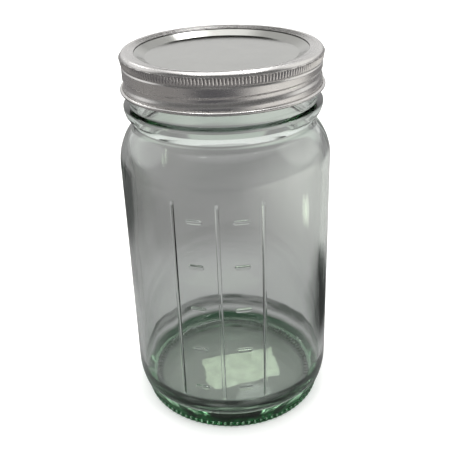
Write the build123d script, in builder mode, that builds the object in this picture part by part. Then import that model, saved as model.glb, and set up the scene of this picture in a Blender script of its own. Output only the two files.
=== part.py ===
from build123d import *
import os
from math import acos, cos, degrees, radians, sin, sqrt

# A wide-mouth canning jar with a two-piece closure, screwed down and empty.
# Millimetres, +Z up. The origin is the centre of the jar's bearing ring, and the
# graduated side of the jar faces -Y. Every outline is drawn as (radius, height).

# ---------------------------------------------------------------- closure stack
CLOSED_HEIGHT = 173.8
FLANGE_DISH = 0.8
BAND_SHEET = 0.30
LID_SHEET = 0.25
SEAL_THICKNESS = 0.65
SEATING_GAP = 0.05
LID_RIM_TOP = CLOSED_HEIGHT - FLANGE_DISH - BAND_SHEET - SEATING_GAP
JAR_HEIGHT = LID_RIM_TOP - LID_SHEET - SEAL_THICKNESS - SEATING_GAP

# ---------------------------------------------------------------- glass body
BODY_RADIUS = 47.7
BODY_WALL = 3.1
WAIST_RADIUS = 41.0
SHOULDER_START = 124.0
SHOULDER_RADIUS = 24.0
SHOULDER_BLEND = 4.0
SHOULDER_TURN = degrees(acos(1 - (BODY_RADIUS - WAIST_RADIUS) / (SHOULDER_RADIUS + SHOULDER_BLEND)))
WAIST_START = SHOULDER_START + (SHOULDER_RADIUS + SHOULDER_BLEND) * sin(radians(SHOULDER_TURN))

# ---------------------------------------------------------------- glass base
BEARING_INNER = 38.4
BEARING_OUTER = 42.2
BASE_CORNER = 1.5
BASE_RING_RADIUS = BEARING_OUTER + BASE_CORNER
BASE_RING_BULGE = 0.35
CREASE_RADIUS = 43.9
CREASE_HEIGHT = 3.6
HEEL_TOP = 18.0
PUSH_UP_CENTRE = 3.2
FLOOR_HEIGHT = 8.0
FLOOR_CROWN = 0.6
FLOOR_CORNER = 9.0

# ---------------------------------------------------------------- glass finish
NECK_RADIUS = 41.5
MOUTH_RADIUS = 38.3
MOUTH_TAPER_TOP = 150.0
LIP_CORNER = 0.9
WAIST_TOP = 143.2
BEAD_FOOT = (43.4, 146.9)
BEAD_RADIUS = 44.05
BEAD_CREST = 149.2
BEAD_EDGE = 150.6
NECK_BOTTOM = 151.2
BEAD_ROUNDING = [1.5, 2.0, 1.0, 0.5, 0.4]
THREAD_PITCH = 6.35
THREAD_TURNS = 1.5
THREAD_BOTTOM = 158.6
THREAD_RADIUS = 42.7
THREAD_ROOT_HALF = 1.6
THREAD_CREST_HALF = 0.6
THREAD_EMBED = 0.5

# ---------------------------------------------------------------- relief on the glass
RIB_SPACING = 23.5
RIB_WIRE = 1.0
RELIEF = 0.5
RIB_BOTTOM = 20.0
RIB_TOP = 121.0
TICK_OFFSET = 12.0
TICK_LENGTH = 7.0
TICK_WIDTH = 1.8
TICK_FIRST = 27.0
TICK_STEP = 21.3
TICK_COUNT = 5
KNURL_COUNT = 90
KNURL_WIRE = 0.5
KNURL_RELIEF = 0.25
KNURL_BOTTOM = 0.5
KNURL_LENGTH = 2.0
FRONT = -90.0

# ---------------------------------------------------------------- screw band
FLANGE_HOLE = 37.75
FLANGE_CROWN = 40.6
FLANGE_BEND = 3.0
BAND_WALL = 43.35
BAND_KNURL_WALL = 43.65
BAND_CORNER = 2.0
FLUTE_TOP = 172.1
FLUTE_BOTTOM = 168.4
BAND_STEP = 0.7
FLUTE_COUNT = 180
FLUTE_WIRE = 0.42
FLUTE_TIP = 44.05
CURL_RADIUS = 0.65
CURL_TURN = 290.0
CURL_HEIGHT = 157.55
ROLL_FRONT_HEIGHT = 162.4
ROLL_BOTTOM = 160.2
ROLL_TOP = 166.2
ROLL_TIP = 42.15
ROLL_BASE_HALF = 1.5
ROLL_TIP_HALF = 0.6
ROLL_END_WALL = 1.0
THREAD_ABOVE_ROLL = 2.2

# ---------------------------------------------------------------- lid disc and seal
LID_RADIUS = 43.0
LID_SKIRT = 0.6
PANEL_RADIUS = 33.3
PANEL_DEPTH = 2.05
RECESS_TOP = 37.2
LID_BEND = 0.4
SEAL_INNER = 38.6
SEAL_OUTER = 42.2
SEAL_EDGE = 0.25


def helix_start(height):
    """Angle about Z at which the band's roll, carried on as a helix, is at this height."""
    return FRONT + (height - ROLL_FRONT_HEIGHT) / THREAD_PITCH * 360


def polar(radius, angle, height=0.0):
    """Point at a radius, an angle in degrees and a height."""
    return (radius * cos(radians(angle)), radius * sin(radians(angle)), height)


def helical_ridge(path_radius, bottom, top, start_angle, outline):
    """Sweep an outline, drawn as (outward, up) from the path, along a right-hand helix."""
    with BuildPart() as ridge:
        with BuildLine(Plane.XY.offset(bottom)) as path:
            Helix(pitch=THREAD_PITCH, height=top - bottom, radius=path_radius)
        with BuildSketch(Plane(origin=path.line @ 0, x_dir=(1, 0, 0), z_dir=path.line % 0)):
            with BuildLine():
                Polyline(*outline, close=True)
            make_face()
        sweep(is_frenet=True)
    return ridge.part.rotate(Axis.Z, start_angle)


def trapezoid(root, root_half, tip, tip_half):
    """Outline of a thread section between two distances from its path."""
    return [(root, root_half), (root, -root_half), (tip, -tip_half), (tip, tip_half)]


# Jar: one piece of glass, turned from its section, with the relief moulded onto it.
with BuildPart() as jar:
    with BuildSketch(Plane.XZ):
        with BuildLine():
            TangentArc((0, PUSH_UP_CENTRE), (BEARING_INNER, 0), tangent=(1, 0))
            Line((BEARING_INNER, 0), (BEARING_OUTER, 0))
            JernArc((BEARING_OUTER, 0), (1, 0), BASE_CORNER, 90)
            ThreePointArc(
                (BASE_RING_RADIUS, BASE_CORNER),
                (BASE_RING_RADIUS + BASE_RING_BULGE, (BASE_CORNER + CREASE_HEIGHT) / 2),
                (CREASE_RADIUS, CREASE_HEIGHT),
            )
            TangentArc((BODY_RADIUS, HEEL_TOP), (CREASE_RADIUS, CREASE_HEIGHT), tangent=(0, -1))
            Line((BODY_RADIUS, HEEL_TOP), (BODY_RADIUS, SHOULDER_START))
            shoulder = JernArc((BODY_RADIUS, SHOULDER_START), (0, 1), SHOULDER_RADIUS, SHOULDER_TURN)
            JernArc(shoulder @ 1, shoulder % 1, SHOULDER_BLEND, -SHOULDER_TURN)
            FilletPolyline(
                (WAIST_RADIUS, WAIST_START),
                (WAIST_RADIUS, WAIST_TOP),
                BEAD_FOOT,
                (BEAD_RADIUS, BEAD_CREST),
                (BEAD_RADIUS, BEAD_EDGE),
                (NECK_RADIUS, NECK_BOTTOM),
                (NECK_RADIUS, JAR_HEIGHT - LIP_CORNER),
                radius=BEAD_ROUNDING,
            )
            lip = JernArc((NECK_RADIUS, JAR_HEIGHT - LIP_CORNER), (0, 1), LIP_CORNER, 90)
            Line(lip @ 1, (MOUTH_RADIUS + LIP_CORNER, JAR_HEIGHT))
            JernArc((MOUTH_RADIUS + LIP_CORNER, JAR_HEIGHT), (-1, 0), LIP_CORNER, 90)
            Line((MOUTH_RADIUS, JAR_HEIGHT - LIP_CORNER), (MOUTH_RADIUS, MOUTH_TAPER_TOP))
            Line((MOUTH_RADIUS, MOUTH_TAPER_TOP), (WAIST_RADIUS - BODY_WALL, WAIST_START))
            inner_blend = JernArc(
                (WAIST_RADIUS - BODY_WALL, WAIST_START), (0, -1), SHOULDER_BLEND + BODY_WALL, SHOULDER_TURN
            )
            JernArc(inner_blend @ 1, inner_blend % 1, SHOULDER_RADIUS - BODY_WALL, -SHOULDER_TURN)
            inner_wall = Line(
                (BODY_RADIUS - BODY_WALL, SHOULDER_START),
                (BODY_RADIUS - BODY_WALL, FLOOR_HEIGHT + FLOOR_CORNER),
            )
            floor_corner = JernArc(inner_wall @ 1, (0, -1), FLOOR_CORNER, -90)
            TangentArc((0, FLOOR_HEIGHT + FLOOR_CROWN), floor_corner @ 1, tangent=(1, 0))
            Line((0, FLOOR_HEIGHT + FLOOR_CROWN), (0, PUSH_UP_CENTRE))
        make_face()
    revolve(axis=Axis.Z)

    # Three vertical ribs up the front wall.
    with BuildSketch(Plane.XY.offset(RIB_BOTTOM)):
        rib_path = BODY_RADIUS + RELIEF - RIB_WIRE
        with PolarLocations(rib_path, 3, FRONT - RIB_SPACING, 2 * RIB_SPACING, endpoint=True):
            Circle(RIB_WIRE)
    extrude(amount=RIB_TOP - RIB_BOTTOM)

    # Two columns of graduation ticks between the ribs.
    for side in (-1, 1):
        for level in range(TICK_COUNT):
            tick_angle = FRONT + side * TICK_OFFSET
            tick_height = TICK_FIRST + level * TICK_STEP
            tick_plane = Plane(
                origin=polar(BODY_RADIUS - RELIEF, tick_angle, tick_height),
                x_dir=polar(1, tick_angle + 90),
                z_dir=polar(1, tick_angle),
            )
            with BuildSketch(tick_plane):
                SlotOverall(TICK_LENGTH, TICK_WIDTH)
            extrude(amount=2 * RELIEF)

    # Short upright knurls around the foot of the base.
    with BuildSketch(Plane.XY.offset(KNURL_BOTTOM)):
        with PolarLocations(BASE_RING_RADIUS + KNURL_RELIEF - KNURL_WIRE, KNURL_COUNT):
            Circle(KNURL_WIRE)
    extrude(amount=KNURL_LENGTH)

    # Single-start thread above the bead.
    thread_outline = trapezoid(
        -THREAD_EMBED, THREAD_ROOT_HALF + THREAD_EMBED, THREAD_RADIUS - NECK_RADIUS, THREAD_CREST_HALF
    )
    add(
        helical_ridge(
            NECK_RADIUS,
            THREAD_BOTTOM,
            THREAD_BOTTOM + THREAD_TURNS * THREAD_PITCH,
            helix_start(THREAD_BOTTOM - THREAD_ABOVE_ROLL),
            thread_outline,
        )
    )
jar.part.label = "jar"

# Lid disc: pressed sheet with a recessed panel, a rim channel and a turned-down edge.
lid_rim_line = LID_RIM_TOP - LID_SHEET / 2
lid_edge_line = LID_RADIUS - LID_SHEET / 2
with BuildPart() as lid_disc:
    with BuildSketch(Plane.XZ):
        with BuildLine():
            FilletPolyline(
                (0, lid_rim_line - PANEL_DEPTH),
                (PANEL_RADIUS, lid_rim_line - PANEL_DEPTH),
                (RECESS_TOP, lid_rim_line),
                (lid_edge_line, lid_rim_line),
                (lid_edge_line, lid_rim_line - LID_SKIRT),
                radius=LID_BEND,
            )
        trace(line_width=LID_SHEET)
    revolve(axis=Axis.Z)
lid_disc.part.label = "lid_disc"

# Sealing ring: soft compound bonded under the rim channel.
seal_top = LID_RIM_TOP - LID_SHEET
with BuildPart() as sealing_ring:
    with BuildSketch(Plane.XZ) as seal_section:
        with Locations((SEAL_INNER, seal_top)):
            Rectangle(SEAL_OUTER - SEAL_INNER, SEAL_THICKNESS, align=(Align.MIN, Align.MAX))
        fillet(seal_section.vertices().group_by(Axis.Z)[0], SEAL_EDGE)
    revolve(axis=Axis.Z)
sealing_ring.part.label = "sealing_ring"

# Screw band: rolled sheet with a dished flange, a fluted strip, a thread roll and a curl.
flange_line = CLOSED_HEIGHT - BAND_SHEET / 2
with BuildPart() as screw_band:
    with BuildSketch(Plane.XZ):
        with BuildLine():
            flange = FilletPolyline(
                (FLANGE_HOLE, flange_line - FLANGE_DISH),
                (FLANGE_CROWN, flange_line),
                (BAND_KNURL_WALL, flange_line),
                (BAND_KNURL_WALL, FLUTE_BOTTOM),
                radius=[FLANGE_BEND, BAND_CORNER],
            )
            step = Line(flange @ 1, (BAND_WALL, FLUTE_BOTTOM - BAND_STEP))
            wall = Line(step @ 1, (BAND_WALL, CURL_HEIGHT))
            JernArc(wall @ 1, (0, -1), CURL_RADIUS, CURL_TURN)
        trace(line_width=BAND_SHEET)
    revolve(axis=Axis.Z)

    # Flutes around the strip under the flange.
    with BuildSketch(Plane.XY.offset(FLUTE_BOTTOM)):
        with PolarLocations(FLUTE_TIP - FLUTE_WIRE, FLUTE_COUNT):
            Circle(FLUTE_WIRE)
        Circle(BAND_KNURL_WALL, mode=Mode.SUBTRACT)
    extrude(amount=FLUTE_TOP - FLUTE_BOTTOM)

    # Thread roll: a ridge on the inside and the groove that formed it on the outside.
    roll_slope = (ROLL_BASE_HALF - ROLL_TIP_HALF) / (BAND_WALL - ROLL_TIP)
    groove_shrink = BAND_SHEET * sqrt(1 + roll_slope**2)
    groove_tip = ROLL_TIP + BAND_SHEET
    groove_mouth = BAND_WALL + BAND_SHEET
    groove_tip_half = ROLL_TIP_HALF + roll_slope * BAND_SHEET - groove_shrink
    groove_mouth_half = groove_tip_half + roll_slope * (groove_mouth - groove_tip)
    add(
        helical_ridge(
            BAND_WALL,
            ROLL_BOTTOM,
            ROLL_TOP,
            helix_start(ROLL_BOTTOM),
            trapezoid(0, ROLL_BASE_HALF, ROLL_TIP - BAND_WALL, ROLL_TIP_HALF),
        )
    )
    end_rise = ROLL_END_WALL / 360 * THREAD_PITCH
    add(
        helical_ridge(
            BAND_WALL,
            ROLL_BOTTOM + end_rise,
            ROLL_TOP - end_rise,
            helix_start(ROLL_BOTTOM + end_rise),
            trapezoid(groove_mouth - BAND_WALL, groove_mouth_half, groove_tip - BAND_WALL, groove_tip_half),
        ),
        mode=Mode.SUBTRACT,
    )
screw_band.part.label = "screw_band"

os.makedirs("parts", exist_ok=True)
export_step(jar.part, "parts/jar.step")
export_step(lid_disc.part, "parts/lid_disc.step")
export_step(sealing_ring.part, "parts/sealing_ring.step")
export_step(screw_band.part, "parts/screw_band.step")
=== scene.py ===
from math import acos, asin, atan2, ceil, cos, hypot, pi, radians, sin, sqrt, tan

import bpy
import numpy as np
from mathutils import Matrix, Vector


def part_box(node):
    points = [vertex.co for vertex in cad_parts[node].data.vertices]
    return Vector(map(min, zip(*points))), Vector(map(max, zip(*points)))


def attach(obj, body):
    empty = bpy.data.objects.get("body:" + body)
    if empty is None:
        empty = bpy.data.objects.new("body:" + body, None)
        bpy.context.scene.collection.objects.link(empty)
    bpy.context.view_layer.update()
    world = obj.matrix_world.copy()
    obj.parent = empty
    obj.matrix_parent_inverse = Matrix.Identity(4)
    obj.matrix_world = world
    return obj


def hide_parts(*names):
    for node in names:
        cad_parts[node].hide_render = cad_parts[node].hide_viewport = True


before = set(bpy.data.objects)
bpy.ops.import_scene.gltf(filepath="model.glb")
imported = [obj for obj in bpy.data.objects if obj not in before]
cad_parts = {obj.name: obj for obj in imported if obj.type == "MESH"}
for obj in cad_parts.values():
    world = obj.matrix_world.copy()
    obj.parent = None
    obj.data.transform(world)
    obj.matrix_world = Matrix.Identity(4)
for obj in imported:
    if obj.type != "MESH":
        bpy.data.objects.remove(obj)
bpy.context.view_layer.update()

MM = 0.001
TURN = 2 * pi
FRONT = radians(-90)

# ------------------------------------------------------------------ sizes of the jar
JAR_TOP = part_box("jar")[1].z / MM
BODY_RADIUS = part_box("jar")[1].x / MM
BODY_WALL = 3.1
WAIST_RADIUS = 41.0
SHOULDER_START = 124.0
SHOULDER_RADIUS = 24.0
SHOULDER_CENTRE = (BODY_RADIUS - SHOULDER_RADIUS, SHOULDER_START)
SHOULDER_BLEND = 4.0
SHOULDER_TURN = acos(1 - (BODY_RADIUS - WAIST_RADIUS) / (SHOULDER_RADIUS + SHOULDER_BLEND))
WAIST_START = SHOULDER_START + (SHOULDER_RADIUS + SHOULDER_BLEND) * sin(SHOULDER_TURN)
BLEND_CENTRE = (WAIST_RADIUS + SHOULDER_BLEND, WAIST_START)
BEARING_INNER = 38.4
BEARING_OUTER = 42.2
BASE_CORNER = 1.5
BASE_RING_BULGE = (44.05, 2.55)
CREASE = (43.9, 3.6)
HEEL_TOP = 18.0
PUSH_UP_CENTRE = 3.2
PUSH_UP_ROUNDING = 1.5
FLOOR_HEIGHT = 8.0
FLOOR_CROWN = 0.6
FLOOR_CORNER = 9.0
MOUTH_RADIUS = 38.3
MOUTH_TAPER_TOP = 150.0
LIP_CORNER = 0.9
LIP_START = JAR_TOP - LIP_CORNER
WAIST_TOP = 143.2
BEAD_FOOT = (43.4, 146.9)
BEAD_RADIUS = 44.05
BEAD_CREST = 149.2
BEAD_EDGE = 150.6
BEAD_ROUNDING = 0.5
NECK_RADIUS = 41.5
NECK_BOTTOM = 151.2
NECK_START = NECK_BOTTOM + 1.0
THREAD_PITCH = 6.35
THREAD_TURNS = 1.5
THREAD_BOTTOM = 158.6
THREAD_RADIUS = 42.7
THREAD_ROOT_HALF = 1.6
THREAD_CREST_HALF = 0.6
THREAD_RUN_OUT = radians(14)
RIB_SPACING = radians(23.5)
RIB_WIRE = 0.9
RIB_RELIEF = 0.75
RIB_BOTTOM = 20.0
RIB_TOP = 121.0
RIB_RUN_OUT = 2.5
TICK_RELIEF = 0.5
TICK_OFFSET = radians(12)
TICK_HALF_LENGTH = 3.5
TICK_HALF_WIDTH = 0.9
TICK_LEVELS = [27.0 + 21.3 * level for level in range(5)]
KNURL_COUNT = 95
KNURL_HALF_WIDTH = 0.55
KNURL_INNER = 38.9
KNURL_MEAN_RADIUS = 43.8
KNURL_TOP = 3.2
KNURL_RELIEF = 0.25
# The rings with the knurls' finer angles end here.
KNURLED_TOP = KNURL_TOP + 0.3
SEAM_HALF_WIDTH = 0.45
SEAM_RELIEF = 0.12
# The seams and the unevenness outside start at this height.
SEAM_START = 9.0
# How much the outer and the inner face swell, and the heights that the inner swelling lies between.
OUTER_UNEVENNESS = 0.10
INNER_UNEVENNESS = 0.5
INNER_UNEVEN_START = 10.0
INNER_UNEVEN_END = SHOULDER_START + 14.0

# ------------------------------------------------------------------ sizes of the closure
BAND_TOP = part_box("screw_band")[1].z / MM
BAND_SHEET = 0.30
BAND_MID_TOP = BAND_TOP - BAND_SHEET / 2
FLANGE_HOLE = 37.75
FLANGE_CROWN = 40.6
FLANGE_DISH = 0.8
FLANGE_BEND = 3.0
FLANGE_RINGS = (38.9, 39.9)
FLANGE_RING_DEPTH = 0.05
FLANGE_RING_WIDTH = 0.28
STRIP_VALLEY = 43.2
STRIP_CREST_TOP = 44.0
STRIP_CREST_BOTTOM = 43.55
STRIP_TOP = 172.1
STRIP_START = STRIP_TOP - 0.4
STRIP_BOTTOM = 168.4
BAND_WALL = 43.35
BAND_CORNER = 2.0
BAND_CORNER_PROUD = 0.3
BAND_CORNER_START = BAND_WALL + BAND_CORNER_PROUD - BAND_CORNER
NOTCH_DEPTH = 0.25
NOTCH_BEND = 0.35
NOTCH_FOOT = STRIP_BOTTOM - 0.7
NOTCH_END = NOTCH_FOOT - 1.0
FLUTE_COUNT = 192
CURL_RADIUS = 0.65
CURL_TURN = radians(290)
CURL_HEIGHT = 157.55
ROLL_FRONT_HEIGHT = 162.4
ROLL_BOTTOM = 160.2
ROLL_TOP = 166.2
ROLL_DEPTH = 0.6
ROLL_BASE_HALF = 1.5
ROLL_LOWER_HALF = 3.0
ROLL_TIP_HALF = 0.6
ROLL_RUN_OUT = radians(14)
THREAD_ABOVE_ROLL = 2.2
LID_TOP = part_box("lid_disc")[1].z / MM
LID_SHEET = 0.25
LID_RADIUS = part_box("lid_disc")[1].x / MM
LID_SKIRT = 0.6
LID_BEND = 0.4
PANEL_RADIUS = 33.3
PANEL_DEPTH = 2.05
PANEL_STEP = 1.5
RECESS_TOP = 37.2
SEAL_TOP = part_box("sealing_ring")[1].z / MM
SEAL_THICKNESS = SEAL_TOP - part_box("sealing_ring")[0].z / MM
SEAL_INNER = 38.6
SEAL_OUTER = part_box("sealing_ring")[1].x / MM
SEAL_EDGE = 0.25
SEAL_LAND = 0.8
SEAL_GROOVE = 0.05

# ------------------------------------------------------------------ points round the axis
UNDERSIDE_COLUMNS = 180
WALL_EVEN_COLUMNS = 150
FINISH_COLUMNS = 204
INSIDE_COLUMNS = 186
BAND_PLAIN_COLUMNS = 240
BAND_ROLLED_COLUMNS = 360
COLUMNS_PER_FLUTE = 8
LID_COLUMNS = 256
SEAL_COLUMNS = 240


# ------------------------------------------------------------------ outlines
def arc(centre, radius, start, end, step=0.6):
    """Points along an arc about a centre, from one angle to another in radians."""
    count = max(3, ceil(abs(radius * (end - start)) / step) + 1)
    return [
        (centre[0] + radius * cos(a), centre[1] + radius * sin(a)) for a in np.linspace(start, end, count)
    ]


def arc_through(first, middle, last, step=0.4):
    """Points along the arc that passes through three points."""
    (ax, ay), (bx, by), (cx, cy) = first, middle, last
    d = 2 * (ax * (by - cy) + bx * (cy - ay) + cx * (ay - by))
    a2, b2, c2 = ax**2 + ay**2, bx**2 + by**2, cx**2 + cy**2
    centre = (
        (a2 * (by - cy) + b2 * (cy - ay) + c2 * (ay - by)) / d,
        (a2 * (cx - bx) + b2 * (ax - cx) + c2 * (bx - ax)) / d,
    )
    start = atan2(ay - centre[1], ax - centre[0])
    end = atan2(cy - centre[1], cx - centre[0])
    return arc(centre, hypot(ax - centre[0], ay - centre[1]), start, end, step)


def line(start, end, step=3.0):
    """Points along a straight run, no further apart than the step."""
    count = max(2, ceil(hypot(end[0] - start[0], end[1] - start[1]) / step) + 1)
    return [tuple(p) for p in np.linspace(start, end, count)]


def dome(edge, height, step):
    """Points of a shallow round crown, from its centre to its edge."""
    rise = height - edge[1]
    radius = (edge[0] ** 2 + rise**2) / (2 * rise)
    count = ceil(edge[0] / step) + 1
    return [(r, height - radius + sqrt(radius**2 - r**2)) for r in np.linspace(0, edge[0], count)]


def softened(points, radius, count=4):
    """The same run of points with each inner corner rounded to a radius."""
    soft = [points[0]]
    for before, corner, after in zip(points, points[1:], points[2:]):
        here = np.array(corner)
        back, on = np.array(before) - here, np.array(after) - here
        back_length, on_length = np.hypot(*back), np.hypot(*on)
        back, on = back / back_length, on / on_length
        half = acos(np.clip(back @ on, -1, 1)) / 2
        reach = min(radius / tan(half), 0.45 * back_length, 0.45 * on_length)
        start, end = here + back * reach, here + on * reach
        for t in np.linspace(0, 1, count):
            soft.append(tuple((1 - t) ** 2 * start + 2 * t * (1 - t) * here + t**2 * end))
    return soft + [points[-1]]


def joined(*runs):
    """Several runs of points as one, each shared end kept once."""
    path = list(runs[0])
    for run in runs[1:]:
        path += [p for p in run if hypot(p[0] - path[-1][0], p[1] - path[-1][1]) > 1e-6 or p is not run[0]]
    return path


def outward(path):
    """Unit normals of an outline, on its right-hand side."""
    p = np.array(path)
    along = np.gradient(p, axis=0)
    along /= np.maximum(np.hypot(along[:, 0], along[:, 1]), 1e-9)[:, None]
    return np.stack([along[:, 1], -along[:, 0]], axis=1)


# ------------------------------------------------------------------ turned surfaces
def evenly(count):
    """Angles spread evenly round the axis."""
    return np.arange(count) * TURN / count


def with_detail(base, details):
    """Even angles, with finer ones in place of them round each detail (centre, offsets)."""
    kept, fine = base, []
    for centre, offsets in details:
        gap = np.abs((kept - centre + pi) % TURN - pi)
        kept = kept[gap > np.max(np.abs(offsets)) + 0.5 * TURN / len(base)]
        fine.append((centre + np.array(offsets)) % TURN)
    return np.sort(np.concatenate([kept, *fine]))


class Turned:
    """A mesh made ring by ring. Rings may differ in their angles: they are stitched."""

    def __init__(self):
        self.points = []
        self.faces = []
        self.rings = []

    def ring(self, angles, radius, height):
        """Adds a ring round the axis and joins it to the last one."""
        first = len(self.points)
        xyz = np.stack([radius * np.cos(angles), radius * np.sin(angles), height + 0 * angles], axis=1)
        self.points.extend(map(tuple, xyz * MM))
        self.add(list(range(first, first + len(angles))), angles)

    def pole(self, height):
        """Adds a single point on the axis and joins it to the last ring."""
        self.points.append((0, 0, height * MM))
        self.add([len(self.points) - 1], np.zeros(1))

    def add(self, indices, angles):
        """Keeps a ring, and joins it to the one before."""
        self.rings.append((indices, angles))
        if len(self.rings) > 1:
            self.join(self.rings[-2], self.rings[-1])

    def join(self, low, high):
        """Faces between two rings."""
        (a, angles_a), (b, angles_b) = low, high
        if len(a) == 1:
            self.faces += [(a[0], b[(j + 1) % len(b)], b[j]) for j in range(len(b))]
        elif len(b) == 1:
            self.faces += [(a[j], a[(j + 1) % len(a)], b[0]) for j in range(len(a))]
        elif len(a) == len(b):
            n = len(a)
            self.faces += [(a[j], a[(j + 1) % n], b[(j + 1) % n], b[j]) for j in range(n)]
        else:
            self.stitch(a, [*angles_a, angles_a[0] + TURN], b, [*angles_b, angles_b[0] + TURN])

    def stitch(self, a, angles_a, b, angles_b):
        """Triangles between two rings with different numbers of points."""
        i = j = 0
        while i < len(a) or j < len(b):
            if j >= len(b) or (i < len(a) and angles_a[i + 1] <= angles_b[j + 1]):
                self.faces.append((a[i % len(a)], a[(i + 1) % len(a)], b[j % len(b)]))
                i += 1
            else:
                self.faces.append((a[i % len(a)], b[(j + 1) % len(b)], b[j % len(b)]))
                j += 1

    def run(self, angles, path, relief=None, skip_first=False):
        """Adds a ring for each point of a path, moved along its normal by the relief."""
        for k, ((r, z), (nr, nz)) in enumerate(zip(path, outward(path))):
            if k == 0 and skip_first:
                continue
            raised = relief(angles, r, z) if relief else 0 * angles
            self.ring(angles, r + nr * raised, z + nz * raised)

    def close(self):
        """Joins the last ring to the first, for a section that doesn't reach the axis."""
        self.join(self.rings[-1], self.rings[0])

    def piece(self, name, material):
        """The finished mesh as an object with a material."""
        mesh = bpy.data.meshes.new(name)
        mesh.from_pydata(self.points, [], self.faces)
        mesh.polygons.foreach_set("use_smooth", [True] * len(mesh.polygons))
        mesh.validate()
        mesh.update()
        mesh.materials.append(material)
        obj = bpy.data.objects.new(name, mesh)
        bpy.context.scene.collection.objects.link(obj)
        return obj


# ------------------------------------------------------------------ relief on the glass
def smooth(t):
    """0 to 1 with soft ends as t goes from 0 to 1."""
    t = np.clip(t, 0, 1)
    return t * t * (3 - 2 * t)


def beside(angles, centre):
    """Signed angle from a centre, between minus and plus half a turn."""
    return (angles - centre + pi) % TURN - pi


def helix_start(height):
    """Angle at which the band's roll, carried on as a helix, is at this height."""
    return FRONT + (height - ROLL_FRONT_HEIGHT) / THREAD_PITCH * TURN


def helix_ridge(angles, z, start, bottom, turns, root_half, crest_half, run_out, lower_root=None):
    """Share of a helical ridge's height at each angle, with its ends run out."""
    lower_root = lower_root or root_half
    share = 0 * angles
    for lap in range(ceil(turns) + 1):
        along = (angles - start) % TURN + lap * TURN
        above = z - (bottom + along / TURN * THREAD_PITCH)
        reach = np.where(above > 0, root_half, lower_root)
        flank = smooth((reach - np.abs(above)) / (reach - crest_half))
        ends = smooth(along / run_out) * smooth((turns * TURN - along) / run_out)
        share = np.maximum(share, flank * ends)
    return share


# Random waves: how many go round the axis, their rate up it, their phase and their height.
waves = np.random.default_rng(7)
WAVES = [
    (waves.integers(1, 7), waves.uniform(0.02, 0.11), waves.uniform(0, TURN), waves.uniform(0.4, 1.0))
    for _ in range(9)
]


def unevenness(angles, z, size):
    """Slow random swelling of blown glass, in millimetres."""
    total = sum(a * np.cos(n * angles + k * z + phase) for n, k, phase, a in WAVES)
    return size * total / len(WAVES)


def wall_relief(angles, r, z):
    """Everything that stands out of the body: ribs, level ticks, mould seams and swelling."""
    swelling = unevenness(angles, z, OUTER_UNEVENNESS) * smooth((z - SEAM_START) / 8)
    return swelling + rib_relief(angles, r, z) + tick_relief(angles, r, z) + seam_relief(angles, r, z)


def rib_relief(angles, r, z):
    """The three upright ribs, like wires half sunk in the wall."""
    ends = smooth((z - RIB_BOTTOM) / RIB_RUN_OUT) * smooth((RIB_TOP - z) / RIB_RUN_OUT)
    raised = 0 * angles
    for rib in (-1, 0, 1):
        across = r * beside(angles, FRONT + rib * RIB_SPACING)
        bulge = np.sqrt(np.maximum(RIB_WIRE**2 - across**2, 0)) - (RIB_WIRE - RIB_RELIEF)
        raised = raised + np.maximum(bulge, 0) * ends
    return raised


def tick_relief(angles, r, z):
    """The level ticks: short level bars with round ends, on both sides of the middle rib."""
    raised = 0 * angles
    for side in (-1, 1):
        along = np.abs(r * beside(angles, FRONT + side * TICK_OFFSET))
        past = np.maximum(along - (TICK_HALF_LENGTH - TICK_HALF_WIDTH), 0)
        for level in TICK_LEVELS:
            share = np.hypot(past, z - level) / TICK_HALF_WIDTH
            raised = raised + TICK_RELIEF * np.sqrt(np.maximum(1 - share**2, 0))
    return raised


def seam_relief(angles, r, z):
    """The two upright lines where the halves of the mould met."""
    raised = 0 * angles
    for side in (0, pi):
        across = r * beside(angles, side) / SEAM_HALF_WIDTH
        raised = raised + SEAM_RELIEF * np.exp(-2 * across**2)
    return raised * smooth((WAIST_TOP - z) / 2) * smooth((z - SEAM_START) / 3)


def knurl_relief(angles, r, z):
    """Short bars across the bearing ring and up round the foot, with valleys between them."""
    across = beside(angles * KNURL_COUNT, 0) / KNURL_COUNT * r / KNURL_HALF_WIDTH
    bar = np.maximum(1 - across**2, 0) ** 0.7
    risen = smooth(z / BASE_CORNER)
    ends = smooth((r - KNURL_INNER) / 0.8) * smooth((KNURL_TOP - z) / 0.5)
    return KNURL_RELIEF * (bar - 1 + risen) * ends


def neck_relief(angles, r, z):
    """The single-start thread on the neck, and the seams up to the waist."""
    start = helix_start(THREAD_BOTTOM - THREAD_ABOVE_ROLL)
    share = helix_ridge(
        angles, z, start, THREAD_BOTTOM, THREAD_TURNS, THREAD_ROOT_HALF, THREAD_CREST_HALF, THREAD_RUN_OUT
    )
    return (THREAD_RADIUS - NECK_RADIUS) * share + seam_relief(angles, r, z)


def inside_relief(angles, r, z):
    """Uneven inner face: free-blown, so the wall's thickness varies."""
    ends = smooth((z - INNER_UNEVEN_START) / 14) * smooth((INNER_UNEVEN_END - z) / 20)
    return unevenness(angles + 1.3, 0.8 * z, INNER_UNEVENNESS) * ends


# ------------------------------------------------------------------ the jar
def wall_heights():
    """Heights of the rings up the body: close together at the ticks and the rib ends."""
    into_rib = (0, 0.5, 1, 1.5, 2, 2.5)
    fine = [RIB_BOTTOM + d for d in into_rib] + [RIB_TOP - d for d in into_rib]
    half_tick = (0.15, 0.4, 0.65, 0.85, 0.97, 1.05, 1.5)
    for level in TICK_LEVELS:
        for side in (-1, 1):
            fine += [level + side * TICK_HALF_WIDTH * share for share in half_tick]
    coarse = [z for z in np.arange(HEEL_TOP, SHOULDER_START, 2.6) if min(abs(z - f) for f in fine) > 1.0]
    return sorted(set(coarse + fine + [SHOULDER_START]))


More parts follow.
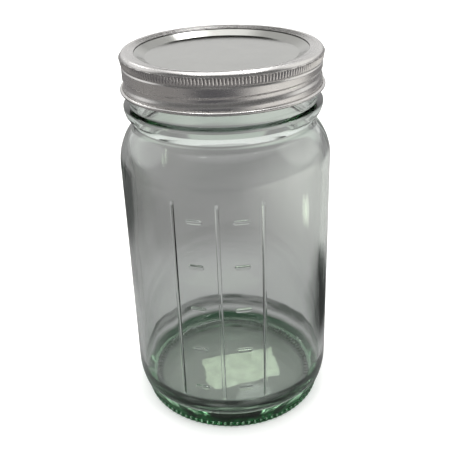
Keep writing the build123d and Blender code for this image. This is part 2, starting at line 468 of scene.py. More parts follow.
def wall_columns():
    """Angles round the body: close together at the ribs, ticks and seams."""
    rib = np.array([0, 0.2, 0.4, 0.56, 0.7, 0.8, 0.86, 0.89, 0.95, 1.1]) / BODY_RADIUS
    tick = np.array([0.9, 1.8, 2.6, 2.75, 2.95, 3.15, 3.3, 3.42, 3.5, 3.58, 3.8]) / BODY_RADIUS
    seam = np.array([0, 0.12, 0.24, 0.36, 0.5, 0.7]) / BODY_RADIUS
    details = [(FRONT + k * RIB_SPACING, np.concatenate([-rib[:0:-1], rib])) for k in (-1, 0, 1)]
    details += [(FRONT + k * TICK_OFFSET, np.concatenate([-tick[::-1], tick])) for k in (-1, 1)]
    details += [(k, np.concatenate([-seam[:0:-1], seam])) for k in (0, pi)]
    return with_detail(evenly(WALL_EVEN_COLUMNS), details)


def knurl_columns():
    """Angles round the base corner, seven to each knurl."""
    pitch = TURN / KNURL_COUNT
    step = np.array([-1, -0.75, 0, 0.75, 1, 1.3]) * KNURL_HALF_WIDTH / KNURL_MEAN_RADIUS
    step = np.append(step, pitch / 2)
    return np.sort(np.concatenate([(k * pitch + step) % TURN for k in range(KNURL_COUNT)]))


def underside_outline():
    """The push-up, from the middle of the underside out to the bearing ring."""
    crown = dome((BEARING_INNER, 0), PUSH_UP_CENTRE, step=3.0)[1:]
    return softened([*crown, (KNURL_INNER, 0)], PUSH_UP_ROUNDING, count=3)


def base_bulge():
    """The ring round the foot, from the base's corner up to the crease."""
    return arc_through((BEARING_OUTER + BASE_CORNER, BASE_CORNER), BASE_RING_BULGE, CREASE, step=0.3)


def knurled_outline():
    """Out along the bearing ring, round its corner and up past the knurls."""
    bearing = line((KNURL_INNER, 0), (BEARING_OUTER, 0), step=0.5)
    corner = arc((BEARING_OUTER, BASE_CORNER), BASE_CORNER, -pi / 2, 0, step=0.28)
    foot = [point for point in base_bulge() if point[1] < KNURLED_TOP]
    return joined(bearing, corner[1:], foot[1:])


def body_outline():
    """From above the knurls over the crease, up the heel and the wall, and round the shoulder."""
    bulge = [point for point in base_bulge() if point[1] >= KNURLED_TOP]
    out, up = BODY_RADIUS - CREASE[0], HEEL_TOP - CREASE[1]
    heel_radius = (out**2 + up**2) / (2 * out)
    heel = arc((BODY_RADIUS - heel_radius, HEEL_TOP), heel_radius, -asin(up / heel_radius), 0, step=0.9)
    wall = [(BODY_RADIUS, z) for z in wall_heights()]
    shoulder = arc(SHOULDER_CENTRE, SHOULDER_RADIUS, 0, SHOULDER_TURN, step=1.2)
    return joined(bulge, heel[1:], wall, shoulder)


def finish_outline():
    """From the shoulder in to the waist, over the transfer bead, and up the neck to the lip."""
    blend = arc(BLEND_CENTRE, SHOULDER_BLEND, pi + SHOULDER_TURN, pi, step=0.4)
    bead = softened(
        [(WAIST_RADIUS, WAIST_START), (WAIST_RADIUS, WAIST_TOP), BEAD_FOOT, (BEAD_RADIUS, BEAD_CREST),
         (BEAD_RADIUS, BEAD_EDGE), (NECK_RADIUS, NECK_BOTTOM), (NECK_RADIUS, NECK_START)],
        BEAD_ROUNDING, count=6,
    )
    neck = line((NECK_RADIUS, NECK_START), (NECK_RADIUS, LIP_START), step=0.5)
    lip = arc((NECK_RADIUS - LIP_CORNER, LIP_START), LIP_CORNER, 0, pi / 2, step=0.25)
    return joined(blend, bead, neck, lip)


def inside_outline():
    """From the top of the lip down the mouth and the inner wall to the middle of the floor."""
    lip = arc((MOUTH_RADIUS + LIP_CORNER, LIP_START), LIP_CORNER, pi / 2, pi, step=0.25)
    mouth = line((MOUTH_RADIUS, LIP_START), (MOUTH_RADIUS, MOUTH_TAPER_TOP), step=2.0)
    taper = line((MOUTH_RADIUS, MOUTH_TAPER_TOP), (WAIST_RADIUS - BODY_WALL, WAIST_START), step=2.0)
    blend = arc(BLEND_CENTRE, SHOULDER_BLEND + BODY_WALL, pi, pi + SHOULDER_TURN, step=0.7)
    shoulder = arc(SHOULDER_CENTRE, SHOULDER_RADIUS - BODY_WALL, SHOULDER_TURN, 0, step=1.2)
    radius, floor_edge = BODY_RADIUS - BODY_WALL, FLOOR_HEIGHT + FLOOR_CORNER
    wall = line((radius, SHOULDER_START), (radius, floor_edge), step=2.6)
    corner = arc((radius - FLOOR_CORNER, floor_edge), FLOOR_CORNER, 0, -pi / 2, step=0.9)
    floor = dome((radius - FLOOR_CORNER, FLOOR_HEIGHT), FLOOR_HEIGHT + FLOOR_CROWN, step=2.4)[:0:-1]
    return joined(lip, mouth, taper, blend, shoulder, wall, corner, floor)


def make_jar(material):
    """The glass, from the middle of its underside out, up, over the lip and down inside."""
    skin = Turned()
    skin.pole(PUSH_UP_CENTRE)
    skin.run(evenly(UNDERSIDE_COLUMNS), underside_outline())
    skin.run(knurl_columns(), knurled_outline(), knurl_relief, skip_first=True)
    skin.run(wall_columns(), body_outline(), wall_relief)
    skin.run(evenly(FINISH_COLUMNS), finish_outline(), neck_relief, skip_first=True)
    skin.run(evenly(INSIDE_COLUMNS), inside_outline(), inside_relief)
    skin.pole(FLOOR_HEIGHT + FLOOR_CROWN)
    return skin.piece("glass_jar", material)


# ------------------------------------------------------------------ sheet metal
def sheet_face(skin, zones, half):
    """One face of a turned sheet, half a thickness off its mid-line."""
    for k, (angles, path, relief) in enumerate(zones):
        for i, ((r, z), (nr, nz)) in enumerate(zip(path, outward(path))):
            if i > 0 or k == 0:
                pressed = relief(angles, r, z) if relief else 0 * angles
                skin.ring(angles, r + nr * half + pressed, z + nz * half)


def sheet_edge(skin, zones, half):
    """The round edge at the far end of a turned sheet."""
    angles, path, _ = zones[-1]
    end, normal = np.array(path[-1]), outward(path)[-1]
    along = np.array([-normal[1], normal[0]])
    for t in (pi / 4, pi / 2, 3 * pi / 4):
        r, z = end + half * (normal * cos(t) + along * sin(t))
        skin.ring(angles, r + 0 * angles, z)


def turned_back(zones):
    """The same zones followed from their far end."""
    return [(angles, path[::-1], relief) for angles, path, relief in reversed(zones)]


def flute_relief(angles, r, z):
    """Pressed flutes, whose crests lean in towards the foot of their strip."""
    up = np.clip((z - STRIP_BOTTOM) / (STRIP_TOP - STRIP_BOTTOM), 0, 1)
    depth = (STRIP_CREST_BOTTOM - STRIP_VALLEY) + up * (STRIP_CREST_TOP - STRIP_CREST_BOTTOM)
    ends = smooth((z - STRIP_BOTTOM + 0.1) / 0.6) * smooth((STRIP_TOP + 0.35 - z) / 0.6)
    return depth * ends * (0.5 + 0.5 * np.cos(angles * FLUTE_COUNT)) ** 0.5


def roll_relief(angles, r, z):
    """The rolled thread: a groove outside and a ridge inside."""
    turns = (ROLL_TOP - ROLL_BOTTOM) / THREAD_PITCH
    share = helix_ridge(
        angles, z, helix_start(ROLL_BOTTOM), ROLL_BOTTOM, turns, ROLL_BASE_HALF, ROLL_TIP_HALF, ROLL_RUN_OUT,
        ROLL_LOWER_HALF,
    )
    return -ROLL_DEPTH * share


def flange_groove(r):
    """Depth of the two faint rings pressed beside the flange's hole."""
    return FLANGE_RING_DEPTH * sum(np.exp(-(((r - at) / FLANGE_RING_WIDTH) ** 2)) for at in FLANGE_RINGS)


def flange_outline():
    """Mid-line of the flange, from its hole up the dish to the flat crown."""
    hole = (FLANGE_HOLE + BAND_SHEET / 2, BAND_MID_TOP - FLANGE_DISH)
    crown = [(FLANGE_CROWN, BAND_MID_TOP), (BAND_CORNER_START, BAND_MID_TOP)]
    rise = softened([hole, *crown], FLANGE_BEND, count=5)
    flange = joined(line(rise[0], rise[1], step=0.2), rise[2:])
    return [(r, z - flange_groove(r)) for r, z in flange]


def notch_outline():
    """Mid-line of the step between the fluted strip and the rolled wall."""
    return softened(
        [(STRIP_VALLEY, STRIP_BOTTOM), (STRIP_VALLEY - NOTCH_DEPTH, STRIP_BOTTOM - NOTCH_BEND),
         (BAND_WALL, NOTCH_FOOT - NOTCH_BEND), (BAND_WALL, NOTCH_END)],
        NOTCH_BEND,
    )


def make_band(material):
    """The screw band: flange, fluted strip, rolled wall and curl, all one thin sheet."""
    corner = arc((BAND_CORNER_START, BAND_MID_TOP - BAND_CORNER), BAND_CORNER, pi / 2, 0, step=0.18)
    strip = line((STRIP_VALLEY, STRIP_START), (STRIP_VALLEY, STRIP_BOTTOM), step=0.37)
    wall = line((BAND_WALL, NOTCH_END), (BAND_WALL, CURL_HEIGHT), step=0.3)
    curl = arc((BAND_WALL + CURL_RADIUS, CURL_HEIGHT), CURL_RADIUS, pi, pi + CURL_TURN, step=0.14)
    zones = [
        (evenly(BAND_PLAIN_COLUMNS), joined(flange_outline(), corner[1:]), None),
        (evenly(FLUTE_COUNT * COLUMNS_PER_FLUTE), joined([corner[-1]], strip), flute_relief),
        (evenly(BAND_ROLLED_COLUMNS), joined(notch_outline(), wall[1:]), roll_relief),
        (evenly(BAND_PLAIN_COLUMNS), curl, None),
    ]
    skin = Turned()
    for face in (turned_back(zones), zones):
        sheet_face(skin, face, BAND_SHEET / 2)
        sheet_edge(skin, face, BAND_SHEET / 2)
    skin.close()
    return skin.piece("rolled_screw_band", material)


def make_lid(material):
    """The pressed disc: panel, recess wall, flat rim and short skirt."""
    half = LID_SHEET / 2
    rim, edge = LID_TOP - half, LID_RADIUS - half
    low = rim - PANEL_DEPTH
    panel = [(r, low) for r in np.arange(PANEL_STEP, PANEL_RADIUS - 2, PANEL_STEP)]
    bends = softened(
        [panel[-1], (PANEL_RADIUS, low), (RECESS_TOP, rim), (edge, rim), (edge, rim - LID_SKIRT)],
        LID_BEND, count=7,
    )
    zones = [(evenly(LID_COLUMNS), joined(panel[:-1], bends), None)]
    skin = Turned()
    skin.pole(low - half)
    sheet_face(skin, zones, half)
    sheet_edge(skin, zones, half)
    sheet_face(skin, turned_back(zones), half)
    skin.pole(low + half)
    return skin.piece("pressed_lid_disc", material)


def make_seal(material):
    """The sealing ring: soft compound with a shallow groove where the lip bears."""
    low, high = SEAL_TOP - SEAL_THICKNESS, SEAL_TOP
    groove = ((SEAL_INNER + SEAL_OUTER) / 2, low + SEAL_GROOVE)
    section = softened(
        [groove, (SEAL_OUTER - SEAL_LAND, low), (SEAL_OUTER, low), (SEAL_OUTER, high), (SEAL_INNER, high),
         (SEAL_INNER, low), (SEAL_INNER + SEAL_LAND, low), groove],
        SEAL_EDGE,
    )
    skin = Turned()
    skin.run(evenly(SEAL_COLUMNS), section[:-1])
    skin.close()
    return skin.piece("seal_compound_ring", material)


# ------------------------------------------------------------------ materials
class Graph:
    """Short names for adding and linking the nodes of a material or a world."""

    def __init__(self, owner):
        owner.use_nodes = True
        self.owner = owner
        self.nodes = owner.node_tree.nodes
        self.links = owner.node_tree.links

    @classmethod
    def material(cls, name):
        """The graph of a new material."""
        graph = cls(bpy.data.materials.new(name))
        graph.shader = graph.nodes["Principled BSDF"]
        graph.output = graph.nodes["Material Output"]
        return graph

    def node(self, kind, inputs=(), **settings):
        """Adds a node with its settings and inputs."""
        made = self.nodes.new(kind)
        for key, value in settings.items():
            setattr(made, key, value)
        for key, value in dict(inputs).items():
            self.feed(made.inputs[key], value)
        return made

    def feed(self, socket, value):
        """Links a node's output to a socket, or sets the socket to a number or colour."""
        if isinstance(value, bpy.types.NodeSocket):
            self.links.new(value, socket)
        else:
            socket.default_value = value

    def math(self, operation, a, b=0.0):
        """One step of arithmetic on two values."""
        return self.node("ShaderNodeMath", {0: a, 1: b}, operation=operation).outputs[0]

    def sum(self, *values):
        """All the values added up."""
        total = values[0]
        for value in values[1:]:
            total = self.math("ADD", total, value)
        return total

    def product(self, *values):
        """All the values multiplied."""
        total = values[0]
        for value in values[1:]:
            total = self.math("MULTIPLY", total, value)
        return total

    def length(self, a, b):
        """Length of the diagonal over two sides."""
        return self.math("SQRT", self.sum(self.product(a, a), self.product(b, b)))

    def place(self):
        """Point on the piece, in metres."""
        return self.node("ShaderNodeTexCoord").outputs["Object"]

    def parts(self, vector):
        """The x, y and z of a vector."""
        return self.node("ShaderNodeSeparateXYZ", {0: vector}).outputs

    def radius(self):
        """Distance from the axis."""
        x, y, z = self.parts(self.place())
        return self.length(x, y)

    def round_place(self, along, across):
        """Point as (arc length, radius, height), scaled to a grain that runs round the axis."""
        x, y, z = self.parts(self.place())
        scaled = {
            "X": self.product(self.math("ARCTAN2", y, x), MEAN_RADIUS * along),
            "Y": self.product(self.radius(), across),
            "Z": self.product(z, across),
        }
        return self.node("ShaderNodeCombineXYZ", scaled).outputs[0]

    def noise(self, vector, scale, detail=2.0, rough=0.5):
        """Smooth random values between 0 and 1."""
        inputs = {"Vector": vector, "Scale": scale, "Detail": detail, "Roughness": rough}
        return self.node("ShaderNodeTexNoise", inputs).outputs["Fac"]

    def ramp(self, value, stops):
        """Maps a value through (position, level or colour) stops."""
        made = self.node("ShaderNodeValToRGB", {"Fac": value})
        points = made.color_ramp.elements
        while len(points) < len(stops):
            points.new(0.5)
        for point, (position, level) in zip(points, stops):
            point.position = position
            point.color = (*level, 1) if isinstance(level, tuple) else (level, level, level, 1)
        return made.outputs["Color"]

    def span(self, value, low, high):
        """A 0..1 value spread between two numbers."""
        inputs = {"Value": value, "To Min": low, "To Max": high}
        return self.node("ShaderNodeMapRange", inputs).outputs["Result"]

    def fade(self, value, start, end, low=0.0, high=1.0):
        """Goes softly from low to high as the value goes from start to end."""
        inputs = {"Value": value, "From Min": start, "From Max": end, "To Min": low, "To Max": high}
        return self.node("ShaderNodeMapRange", inputs, interpolation_type="SMOOTHSTEP").outputs["Result"]

    def within(self, *edges):
        """1 where each value is past its soft edge (value, (start, full)), and 0 elsewhere."""
        return self.product(*(self.fade(value, *edge) for value, edge in edges))

    def mix(self, factor, a, b):
        """Goes from colour a to colour b as the factor goes from 0 to 1."""
        made = self.node("ShaderNodeMix", data_type="RGBA")
        for socket, value in zip((made.inputs[0], made.inputs[6], made.inputs[7]), (factor, a, b)):
            self.feed(socket, (*value, 1) if isinstance(value, tuple) else value)
        return made.outputs[2]

    def bump(self, height, strength, distance):
        """Normals of a surface with this fine relief."""
        inputs = {"Height": height, "Strength": strength, "Distance": distance}
        return self.node("ShaderNodeBump", inputs).outputs["Normal"]


MEAN_RADIUS = 0.043
GLASS_ABSORPTION = (0.40, 0.90, 0.50, 1)
GLASS_DENSITY = 11.0
# Zones of the glass with their own dark tint. In the foot it is partly the deeper green of thick glass
# and partly painted shade; round the heel and on the bead's ledge it is painted shade, for the dark
# bands that the glass shows there. Each soft edge is given as where the tint starts and where it is full.
FOOT_TINT_AND_SHADE = (0.001, 0.03, 0.005)
FOOT_UNDER = (0.0120, 0.0078)
FOOT_OUTSIDE = (0.0424, 0.0430)
# Untinted spots in the foot, one at each knurl: painted glints, where the bright surround shows through. The
# edge beside is in shares of the knurls' spacing.
GLINT_BESIDE = (0.20, 0.10)
GLINT_UNDER = (0.0037, 0.0032)
GLINT_OVER = (0.0018, 0.0023)
GLINT_OUTSIDE = (0.0425, 0.0432)
HEEL_SHADE = (0.022, 0.029, 0.024)
HEEL_OVER = (0.0110, 0.0145)
HEEL_UNDER = (0.0212, 0.0194)
HEEL_OUTSIDE = (0.0446, 0.0450)
LEDGE_SHADE = (0.12, 0.17, 0.14)
LEDGE_OVER = (0.1500, 0.1505)
LEDGE_UNDER = (0.1515, 0.1512)
LEDGE_OUTSIDE = (0.0412, 0.0414)
SCUFF_UNDER = (0.0009, 0.0)
# Tinplate: its grain, the painted shadow at the edge of the band's hole, and painted shade between its
# flutes.
GRAIN_DEPTH = 0.00002
HOLE_EDGE_SHADOW = (0.06, 0.058, 0.055)
HOLE_EDGE_SHADOW_RADIUS = (FLANGE_HOLE + 0.06) * MM
HOLE_EDGE_SHADOW_FADE = 0.00008
SLOT_SHADE = (0.30, 0.29, 0.29)
SLOT_RADIUS = (STRIP_VALLEY + BAND_SHEET / 2) * MM
SLOT_INSIDE = (SLOT_RADIUS + 0.00022, SLOT_RADIUS + 0.00004)
SLOT_OVER = (STRIP_BOTTOM * MM, (STRIP_BOTTOM + 0.3) * MM)
SLOT_UNDER = (STRIP_TOP * MM, (STRIP_TOP - 0.3) * MM)


def foot_tint_and_shade(g, place, height, radius):
    """1 in the foot of the glass, tinted deep green and painted shade, and 0 outside it and in the painted
    glints at the knurls.
    """
    x, y, z = g.parts(place)
    phase = g.product(g.math("ARCTAN2", y, x), KNURL_COUNT / TURN)
    beside_crest = g.math("ABSOLUTE", g.math("SUBTRACT", phase, g.math("ROUND", phase)))
    # Painted glints: spots at the knurls' crests where the foot's dark tint is left out.
    painted_glint = g.within(
        (beside_crest, GLINT_BESIDE), (height, GLINT_UNDER), (height, GLINT_OVER), (radius, GLINT_OUTSIDE)
    )
    foot = g.within((height, FOOT_UNDER), (radius, FOOT_OUTSIDE))
    return g.product(foot, g.math("SUBTRACT", 1.0, painted_glint))


def heel_shade(g, height, radius):
    """1 in the band of painted dark shade round the heel, slightly streaky, and 0 outside it."""
    streaks = g.fade(g.noise(g.round_place(55, 260), 1.0, 2), 0.35, 0.60, 0.75, 1.0)
    return g.product(g.within((height, HEEL_OVER), (height, HEEL_UNDER), (radius, HEEL_OUTSIDE)), streaks)


def ledge_shade(g, height, radius):
    """1 on the ledge on top of the transfer bead, which is painted dark shade, and 0 outside it."""
    return g.within((height, LEDGE_OVER), (height, LEDGE_UNDER), (radius, LEDGE_OUTSIDE))


def glass_roughness(g, place, height):
    """Faint smudges all over, and fine scuffs on the bearing ring."""
    smudge = g.ramp(g.noise(place, 45, 4, 0.6), [(0.52, 0.0), (0.75, 1.0)])
    scuff = g.ramp(g.noise(place, 1400, 2), [(0.45, 0.1), (0.6, 1.0)])
    return g.sum(g.product(smudge, 0.03), g.product(g.fade(height, *SCUFF_UNDER), scuff, 0.25))


def glass_material():
    """Soda-lime glass: green in its depth, darker in three zones of painted shade (the foot partly its deeper
    green), with painted glints at the knurls, slight waves and smudges.
    """
    g = Graph.material("green_tinted_glass")
    s = g.shader.inputs
    s["Transmission Weight"].default_value = 1.0
    s["IOR"].default_value = 1.52
    place = g.place()
    height, radius = g.parts(place)["Z"], g.radius()
    streak = g.noise(g.round_place(60, 25), 1.0, 3)
    colour = g.ramp(streak, [(0.3, (0.985, 0.993, 0.987)), (0.7, (1.0, 1.0, 1.0))])
    # Painted shade in the glass's colour: the dark foot, partly its real deeper green.
    colour = g.mix(foot_tint_and_shade(g, place, height, radius), colour, FOOT_TINT_AND_SHADE)
    # Painted shade: the dark band round the heel.
    colour = g.mix(heel_shade(g, height, radius), colour, HEEL_SHADE)
    # Painted shade: the dark line on the bead's ledge.
    colour = g.mix(ledge_shade(g, height, radius), colour, LEDGE_SHADE)
    g.feed(s["Base Color"], colour)
    g.feed(s["Roughness"], glass_roughness(g, place, height))
    stretched = g.node("ShaderNodeMapping", {"Vector": place, "Scale": (1, 1, 0.45)}).outputs[0]
    g.feed(s["Normal"], g.bump(g.noise(stretched, 70, 1), 0.25, 0.0006))
    tint = g.node("ShaderNodeVolumeAbsorption", {"Color": GLASS_ABSORPTION, "Density": GLASS_DENSITY})
    g.links.new(tint.outputs[0], g.output.inputs["Volume"])
    return g.owner


def tinplate(name, dark, light, roughness, along, painted_shade=None):
    """Rolled tinplate: grain round the axis, cloudy tin and fine scuffs, with any painted shade laid over its
    colour.
    """
    g = Graph.material(name)
    s = g.shader.inputs
    s["Metallic"].default_value = 1.0
    grain = g.noise(g.round_place(along, 2600), 1.0, 3, 0.6)
    cloud = g.noise(g.place(), 90, 4, 0.6)
    scuff = g.ramp(g.noise(g.round_place(300, 900), 1.0, 4, 0.7), [(0.60, 0.0), (0.74, 1.0)])
    mixed = g.sum(g.product(grain, 0.4), g.product(cloud, 0.6))
    tin = g.ramp(mixed, [(0.3, dark), (0.7, light)])
    g.feed(s["Base Color"], painted_shade(g, tin) if painted_shade else tin)
    g.feed(s["Roughness"], g.sum(g.span(mixed, *roughness), g.product(scuff, 0.06)))
    g.feed(s["Normal"], g.bump(g.sum(grain, g.product(scuff, -0.25)), 0.12, GRAIN_DEPTH))
    return g.owner


def band_painted_shade(g, tin):
    """Tin with painted shadow at the edge of the band's hole and painted shade in the valleys of its flutes.
    """
    radius, height = g.radius(), g.parts(g.place())["Z"]
    # Painted shadow: the hole's edge, over the gap to the lid, is coloured near black.
    tin = g.mix(g.fade(radius, HOLE_EDGE_SHADOW_RADIUS + HOLE_EDGE_SHADOW_FADE, HOLE_EDGE_SHADOW_RADIUS), tin, HOLE_EDGE_SHADOW)
    # Painted shade: the valleys between the flutes are coloured darker.
    slot = g.within((height, SLOT_OVER), (height, SLOT_UNDER), (radius, SLOT_INSIDE))
    return g.mix(slot, tin, SLOT_SHADE)


def lid_material():
    """The disc's satin tin."""
    return tinplate("satin_tinplate", (0.38, 0.38, 0.36), (0.44, 0.44, 0.415), (0.10, 0.17), 900)


def band_material():
    """The band's brighter tin, with a coarser grain."""
    return tinplate("bright_tinplate", (0.60, 0.585, 0.57), (0.69, 0.675, 0.66), (0.22, 0.32), 60, band_painted_shade)


def seal_material():
    """Grey sealing compound: matt, with a fine orange-peel skin."""
    g = Graph.material("sealing_compound")
    s = g.shader.inputs
    place = g.place()
    skin = g.noise(place, 1800, 3)
    grey = g.ramp(g.noise(place, 160, 3), [(0.35, (0.22, 0.21, 0.2)), (0.65, (0.3, 0.29, 0.28))])
    g.feed(s["Base Color"], grey)
    g.feed(s["Roughness"], g.span(skin, 0.5, 0.75))
    g.feed(s["Normal"], g.bump(skin, 0.4, 0.00005))
    return g.owner


# ------------------------------------------------------------------ pieces on their bodies
jar = make_jar(glass_material())
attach(jar, "jar")
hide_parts("jar")

lid = make_lid(lid_material())
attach(lid, "lid")
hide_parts("lid_disc")

seal = make_seal(seal_material())
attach(seal, "lid")
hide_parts("sealing_ring")

band = make_band(band_material())
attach(band, "band")
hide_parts("screw_band")


# ------------------------------------------------------------------ studio
STAGE_RADIUS = 4.0
STAGE_DROP = -0.0001
STAGE_CORNERS = 128
# Painted pools of light and painted shadows on the table top, soft and round, each over the ones before:
# centre, full reach, fade, colour.
TABLE_LIGHT_AND_SHADOW = [
    ((0, 0.03), 0.085, 0.055, (0.37, 0.365, 0.37)),
    ((0, 0), 0.046, 0.010, (0.24, 0.24, 0.24)),
    ((0, 0), 0.036, 0.004, (0.58, 0.57, 0.57)),
    ((-0.06, -0.68), 0.24, 0.16, (0.06, 0.06, 0.07)),
    ((-0.65, -0.20), 0.30, 0.30, (0.28, 0.27, 0.265)),
    ((0.62, -0.20), 0.26, 0.30, (0.95, 0.93, 0.90)),
    ((0, 0.64), 0.22, 0.06, (0.42, 0.45, 0.42)),
    ((0.19, 0.24), 0.09, 0.13, (0.49, 0.49, 0.48)),
    ((-0.22, 0.20), 0.08, 0.06, (0.07, 0.07, 0.07)),
    ((0.115, 0.06), 0.04, 0.03, (0.03, 0.03, 0.03)),
]
# Sides of the pool of light under the jar: the way each faces, and its distance from the axis.
PATCH_SIDES = [
    (radians(108), 0.0125),
    (radians(191), 0.0150),
    (radians(219), 0.0170),
    (radians(290), 0.0138),
    (radians(12), 0.0245),
]
# How far its outline wanders, how soft the outline is, and its lowest and highest strength.
PATCH_RAGGED = 0.006
PATCH_EDGE = 0.0008
PATCH_STRENGTH = (0.29, 0.45)
# A patch of sun on the table beside the jar, twice as long as it is wide and pointing at the jar.
SUNSPOT = (0.26, 0.024)
SUNSPOT_REACH = (0.036, 0.014)
SUNSPOT_STRENGTH = 3.0
# Colour of the light in both patches.
LIGHT_COLOUR = (0.84, 1.0, 0.74, 1)
# Broad lights to the right and left: the way to each, the cosines of its outer and full
# angles, its colour, and its extra strength.
SIDE_LIGHTS = [
    ((0.85, 0.25, 0.42), 0.86, 0.95, (1.0, 1.0, 0.98), 0.2),
    ((-0.85, 0.15, 0.38), 0.88, 0.96, (1.0, 1.0, 1.0), 0.1),
]
# Small bright lamps: the way to each, its angular size, and its strength.
LAMPS = [
    ((-0.30, -0.45, 0.84), radians(5), 14),
    ((0.42, -0.30, 0.86), radians(5), 14),
    ((0.10, 0.55, 0.83), radians(7), 8),
    ((-0.62, 0.50, 0.60), radians(5), 10),
]
# Share of a lamp's size that has its full strength.
LAMP_CORE = 0.6
CAMERA_DISTANCE = 0.32034
CAMERA_HEIGHT = 0.24943
CAMERA_SIDE = radians(5.05)
CAMERA_PITCH = radians(26.823)
CAMERA_YAW = radians(-0.229)
CAMERA_ROLL = radians(-2.141)
CAMERA_LENS = 59.685


def make_camera():
    """A camera at a height and distance from the axis, a little right of the front."""
    data = bpy.data.cameras.new("camera")
    data.lens = CAMERA_LENS
    data.sensor_width = 36.0
    data.clip_start, data.clip_end = 0.02, 50
    camera = bpy.data.objects.new("camera", data)
    bpy.context.scene.collection.objects.link(camera)
    turn = Matrix.Rotation(CAMERA_SIDE, 4, "Z")
    heading = Matrix.Rotation(-CAMERA_YAW, 4, "Z")
    tilt = Matrix.Rotation(pi / 2 - CAMERA_PITCH, 4, "X")
    roll = Matrix.Rotation(CAMERA_ROLL, 4, "Z")
    place = Matrix.Translation((0, -CAMERA_DISTANCE, CAMERA_HEIGHT))
    camera.matrix_world = turn @ place @ heading @ tilt @ roll
    bpy.context.scene.camera = camera


def table_tone(g, place):
    """The table top that glass and metal see: grey, with soft painted pools of light and painted shadows."""
    tone = g.ramp(g.noise(place, 9, 3), [(0.3, (0.215, 0.210, 0.213)), (0.7, (0.255, 0.248, 0.252))])
    for centre, reach, fade, colour in TABLE_LIGHT_AND_SHADOW:
        offset = g.node("ShaderNodeVectorMath", {0: place, 1: (*centre, 0)}, operation="SUBTRACT").outputs[0]
        distance = g.node("ShaderNodeVectorMath", {0: offset}, operation="LENGTH").outputs["Value"]
        # Painted light or shadow: each area sets the table's colour within its reach.
        tone = g.mix(g.fade(distance, reach + fade, reach), tone, colour)
    return tone


def light_patch(g, place):
    """Strength of the ragged pool of light on the table under the jar."""
    ragged = g.node("ShaderNodeTexNoise", {"Vector": place, "Scale": 110, "Detail": 2}).outputs["Color"]
    shift = g.node(
        "ShaderNodeVectorMath",
        {0: ragged, 1: (PATCH_RAGGED, PATCH_RAGGED, 0), 2: (-PATCH_RAGGED / 2, -PATCH_RAGGED / 2, 0)},
        operation="MULTIPLY_ADD",
    )
    moved = g.node("ShaderNodeVectorMath", {0: place, 1: shift.outputs[0]}, operation="ADD").outputs[0]
    x, y, z = g.parts(moved)
    inside = 1.0
    for turn, reach in PATCH_SIDES:
        across = g.sum(g.product(x, cos(turn)), g.product(y, sin(turn)))
        inside = g.product(inside, g.fade(across, reach + PATCH_EDGE, reach - PATCH_EDGE))
    return g.product(inside, g.fade(g.noise(place, 160, 3), 0.3, 0.7, *PATCH_STRENGTH))


def sun_spot(g, place):
    """Strength of the patch of sun on the table beside the jar."""
    x, y, z = g.parts(place)
    along = g.math("SUBTRACT", x, SUNSPOT[0])
    across = g.product(g.math("SUBTRACT", y, SUNSPOT[1]), 2)
    return g.fade(g.length(along, across), *SUNSPOT_REACH, 0.0, SUNSPOT_STRENGTH)


def floor_material():
    """Pale paper: near white as seen directly, and a grey table top to the glass and metal."""
    g = Graph.material("pale_floor")
    s = g.shader.inputs
    fibre = g.noise(g.place(), 900, 3)
    g.feed(s["Base Color"], g.ramp(fibre, [(0.3, (0.90, 0.90, 0.89)), (0.7, (0.93, 0.93, 0.92))]))
    s["Roughness"].default_value = 0.9
    s["Emission Color"].default_value = (1, 1, 1, 1)
    s["Emission Strength"].default_value = 0.35
    place = g.place()
    grey = g.node("ShaderNodeBsdfDiffuse", {"Color": table_tone(g, place)})
    light = g.sum(light_patch(g, place), sun_spot(g, place))
    pool = g.node("ShaderNodeEmission", {"Color": LIGHT_COLOUR, "Strength": light})
    table = g.node("ShaderNodeAddShader", {0: grey.outputs[0], 1: pool.outputs[0]})
    path = g.node("ShaderNodeLightPath")
    choice = {0: path.outputs["Is Camera Ray"], 1: table.outputs[0], 2: g.shader.outputs[0]}
    g.links.new(g.node("ShaderNodeMixShader", choice).outputs[0], g.output.inputs["Surface"])
    return g.owner


def make_floor():
    """The flat round floor that the jar stands on."""
    rim = [(STAGE_RADIUS * cos(t), STAGE_RADIUS * sin(t), STAGE_DROP) for t in evenly(STAGE_CORNERS)]
    slices = [(0, k + 1, (k + 1) % STAGE_CORNERS + 1) for k in range(STAGE_CORNERS)]
    mesh = bpy.data.meshes.new("floor")
    mesh.from_pydata([(0, 0, STAGE_DROP), *rim], [], slices)
    mesh.materials.append(floor_material())
    floor = bpy.data.objects.new("floor", mesh)
    bpy.context.scene.collection.objects.link(floor)


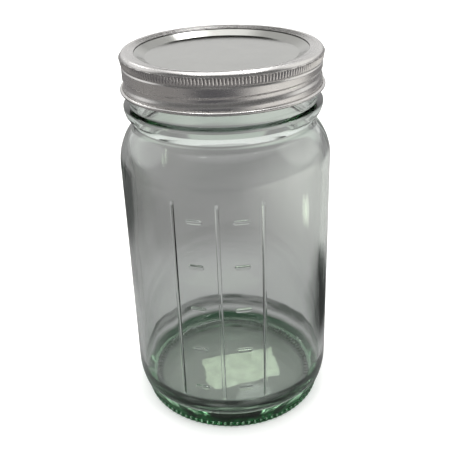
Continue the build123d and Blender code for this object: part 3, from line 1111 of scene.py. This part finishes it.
def room_tone(g, x, y, z):
    """The room's brightness: two tall gradients, before and behind the jar, and a dark patch behind."""
    behind = g.ramp(z, [(0.0, 0.62), (0.25, 0.95), (0.6, 0.80), (0.75, 0.85), (0.88, 1.0), (1.0, 1.0)])
    beside_dark = g.math("ABSOLUTE", g.math("ADD", x, 0.07))
    dark = g.product(g.fade(z, 0.40, 0.48), g.fade(z, 0.82, 0.75), g.fade(beside_dark, 0.24, 0.16))
    behind = g.mix(dark, behind, (0.02, 0.02, 0.015))
    before = g.ramp(z, [(0.0, 0.30), (0.45, 0.10), (0.66, 0.14), (0.80, 0.95), (1.0, 1.0)])
    return g.mix(g.fade(y, -0.25, 0.30), before, behind)


def make_world():
    """A white surround as seen directly, and a soft studio for everything else."""
    world = bpy.data.worlds.new("studio")
    bpy.context.scene.world = world
    g = Graph(world)
    g.nodes.clear()
    direction = g.node("ShaderNodeTexCoord").outputs["Generated"]
    x, y, z = g.parts(direction)

    def glow(towards, outer, inner):
        """1 towards a direction, fading to 0, by the cosines of two angles."""
        way = Vector(towards).normalized()
        dot = g.node("ShaderNodeVectorMath", {0: direction, 1: way}, operation="DOT_PRODUCT")
        return g.fade(dot.outputs["Value"], outer, inner)

    tone = room_tone(g, x, y, z)
    strength = g.fade(z, 0.80, 0.92, 1.0, 2.0)
    for towards, outer, inner, colour, extra in SIDE_LIGHTS:
        light = glow(towards, outer, inner)
        tone = g.mix(light, tone, colour)
        strength = g.sum(strength, g.product(light, extra))
    for towards, size, power in LAMPS:
        strength = g.sum(strength, g.product(glow(towards, cos(size), cos(LAMP_CORE * size)), power))
    studio = g.node("ShaderNodeBackground", {"Color": tone, "Strength": strength})
    plain = g.node("ShaderNodeBackground", {"Color": (1, 1, 1, 1)})
    path = g.node("ShaderNodeLightPath")
    choice = {0: path.outputs["Is Camera Ray"], 1: studio.outputs[0], 2: plain.outputs[0]}
    g.node("ShaderNodeOutputWorld", {"Surface": g.node("ShaderNodeMixShader", choice).outputs[0]})


def set_view():
    """Plain colour handling, and enough bounces for thick glass."""
    scene = bpy.context.scene
    scene.view_settings.view_transform = "Standard"
    scene.view_settings.look = "None"
    cycles = scene.cycles
    cycles.max_bounces = 24
    cycles.transmission_bounces = 24
    cycles.glossy_bounces = 10
    cycles.diffuse_bounces = 3
    cycles.sample_clamp_indirect = 4.0
    cycles.blur_glossy = 0.3


make_camera()
make_floor()
make_world()
set_view()
